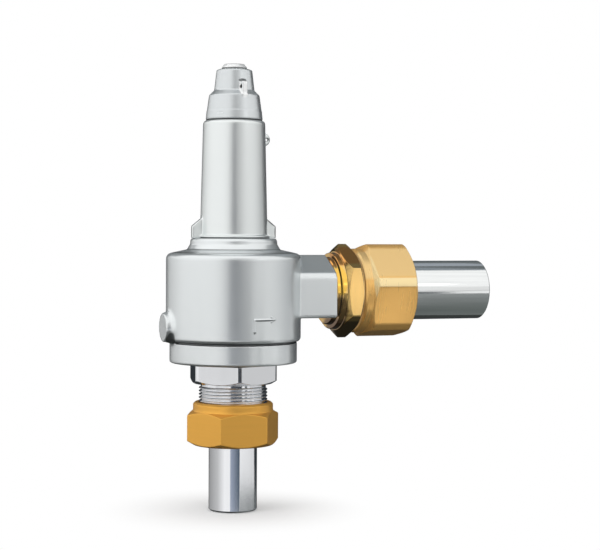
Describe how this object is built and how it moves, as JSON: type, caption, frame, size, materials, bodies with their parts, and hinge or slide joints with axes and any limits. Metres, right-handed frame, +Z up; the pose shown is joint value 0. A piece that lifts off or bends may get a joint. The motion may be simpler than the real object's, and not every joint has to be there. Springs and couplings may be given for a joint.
{
  "type": "pressure relief valve",
  "caption": "Spring-loaded angle pressure relief valve with a tall bonnet, a screwed cap over the adjuster, and union-nut stub pipes at its lower inlet and side outlet.",
  "frame": {"origin": "centre of the inlet stub's open lower end, on the valve axis", "axes": "+Z up along the valve axis from inlet to cap, +X along the outlet towards its open end"},
  "size_m": [0.2395, 0.0946, 0.3094],
  "materials": {
    "cast_steel": "shot-blasted cast stainless steel, satin",
    "bright_steel": "polished stainless steel",
    "inner_steel": "turned stainless steel",
    "brass": "satin machined brass",
    "white_plastic": "fluoropolymer",
    "dark_fibre": "compressed fibre gasket"
  },
  "bodies": {
    "valve": {"valve_body": "cast_steel", "inlet_nozzle": "bright_steel", "nozzle_gasket": "dark_fibre", "bonnet": "cast_steel", "bonnet_gasket": "dark_fibre", "disc_guide": "brass", "outlet_adaptor": "brass", "spring": "bright_steel"},
    "disc": {"disc_holder": "inner_steel", "disc_seal": "white_plastic", "seal_retainer": "inner_steel", "retainer_screw": "inner_steel", "spindle": "bright_steel", "spindle_pin": "bright_steel", "lower_spring_seat": "inner_steel"},
    "spring_follower": {"upper_spring_seat": "inner_steel"},
    "adjuster": {"adjusting_screw": "inner_steel"},
    "lock_nut": {"lock_nut": "inner_steel"},
    "cap_seal": {"cap_gasket": "dark_fibre"},
    "cap": {"cap": "cast_steel", "cap_plug": "cast_steel"},
    "inlet_stub": {"inlet_tail": "bright_steel", "inlet_gasket": "white_plastic"},
    "inlet_nut": {"inlet_nut": "brass"},
    "outlet_stub": {"outlet_tail": "bright_steel", "outlet_gasket": "white_plastic"},
    "outlet_nut": {"outlet_nut": "brass"}
  },
  "joints": [
    {"name": "disc_lift", "type": "slide", "parent": "valve", "child": "disc", "axis": [0, 0, 1], "range_m": [0, 0.005], "stiffness_N_per_m": 28400, "springref_m": -0.01, "deforming": ["spring"]},
    {"name": "adjuster_travel", "type": "slide", "parent": "valve", "child": "spring_follower", "axis": [0, 0, 1], "range_m": [-0.003, 0.006]},
    {"name": "adjuster_turn", "type": "hinge", "parent": "spring_follower", "child": "adjuster", "pos_m": [0, 0, 0.2505], "axis": [0, 0, 1], "range_deg": [-720, 1440]},
    {"name": "lock_nut_turn", "type": "hinge", "parent": "valve", "child": "lock_nut", "pos_m": [0, 0, 0.283], "axis": [0, 0, 1], "range_deg": [0, 360]},
    {"name": "cap_travel", "type": "slide", "parent": "valve", "child": "cap_seal", "axis": [0, 0, 1], "range_m": [0, 0.012]},
    {"name": "cap_turn", "type": "hinge", "parent": "cap_seal", "child": "cap", "pos_m": [0, 0, 0.271], "axis": [0, 0, 1], "range_deg": [0, 2880]},
    {"name": "inlet_stub_draw", "type": "slide", "parent": "valve", "child": "inlet_stub", "axis": [0, 0, -1], "range_m": [0, 0.01386]},
    {"name": "inlet_nut_turn", "type": "hinge", "parent": "inlet_stub", "child": "inlet_nut", "pos_m": [0, 0, 0.0456], "axis": [0, 0, -1], "range_deg": [0, 2160]},
    {"name": "outlet_stub_draw", "type": "slide", "parent": "valve", "child": "outlet_stub", "axis": [1, 0, 0], "range_m": [0, 0.02]},
    {"name": "outlet_nut_turn", "type": "hinge", "parent": "outlet_stub", "child": "outlet_nut", "pos_m": [0.1275, 0, 0.1518], "axis": [1, 0, 0], "range_deg": [0, 3600]}
  ],
  "couplings": [
    {"joint": "adjuster_travel", "follows": "adjuster_turn", "m_per_rad": 0.00023873},
    {"joint": "cap_travel", "follows": "cap_turn", "m_per_rad": 0.00023873},
    {"joint": "inlet_stub_draw", "follows": "inlet_nut_turn", "m_per_rad": 0.00036749},
    {"joint": "outlet_stub_draw", "follows": "outlet_nut_turn", "m_per_rad": 0.00031831}
  ]
}
